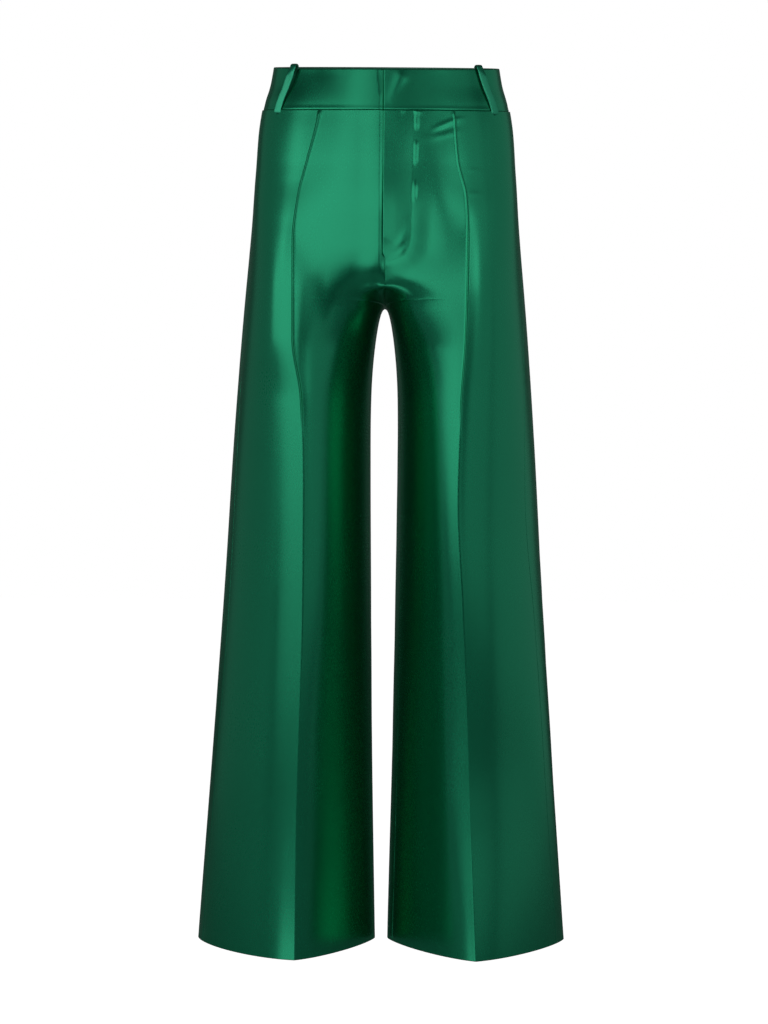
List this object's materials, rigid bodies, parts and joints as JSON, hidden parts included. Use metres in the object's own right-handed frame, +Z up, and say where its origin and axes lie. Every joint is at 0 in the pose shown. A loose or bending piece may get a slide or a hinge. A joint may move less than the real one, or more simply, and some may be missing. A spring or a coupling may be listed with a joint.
{
  "type": "wide-leg trousers",
  "caption": "High-waisted wide-leg trousers in heavy satin, in worn form, with a fly lap, pressed creases, side-seam pockets and narrow belt loops.",
  "frame": {"origin": "middle of the waist, level with the top of the waistband at the side seams, where the wearer holds the garment up", "axes": "+Z up along the body, the front faces -Y, +X is the wearer's left"},
  "size_m": [0.4553, 0.2664, 1.1091],
  "materials": {
    "panel_satin": "heavy emerald satin with a broad vertical sheen",
    "band_satin": "the same satin over a stiffener, flatter",
    "loop_satin": "the same satin, folded narrow",
    "inner_satin": "the same satin, in shade"
  },
  "bodies": {
    "root": {"front_left": "panel_satin", "front_right": "panel_satin", "back_left": "panel_satin", "back_right": "panel_satin", "waistband_front_left": "band_satin", "waistband_front_right": "band_satin", "waistband_back": "band_satin", "belt_loop_front_left": "loop_satin", "belt_loop_front_right": "loop_satin", "belt_loop_back_left": "loop_satin", "belt_loop_back_right": "loop_satin", "belt_loop_back_centre": "loop_satin", "fly_shield": "inner_satin", "pocket_facing_left": "inner_satin", "pocket_facing_right": "inner_satin"}
  },
  "joints": []
}
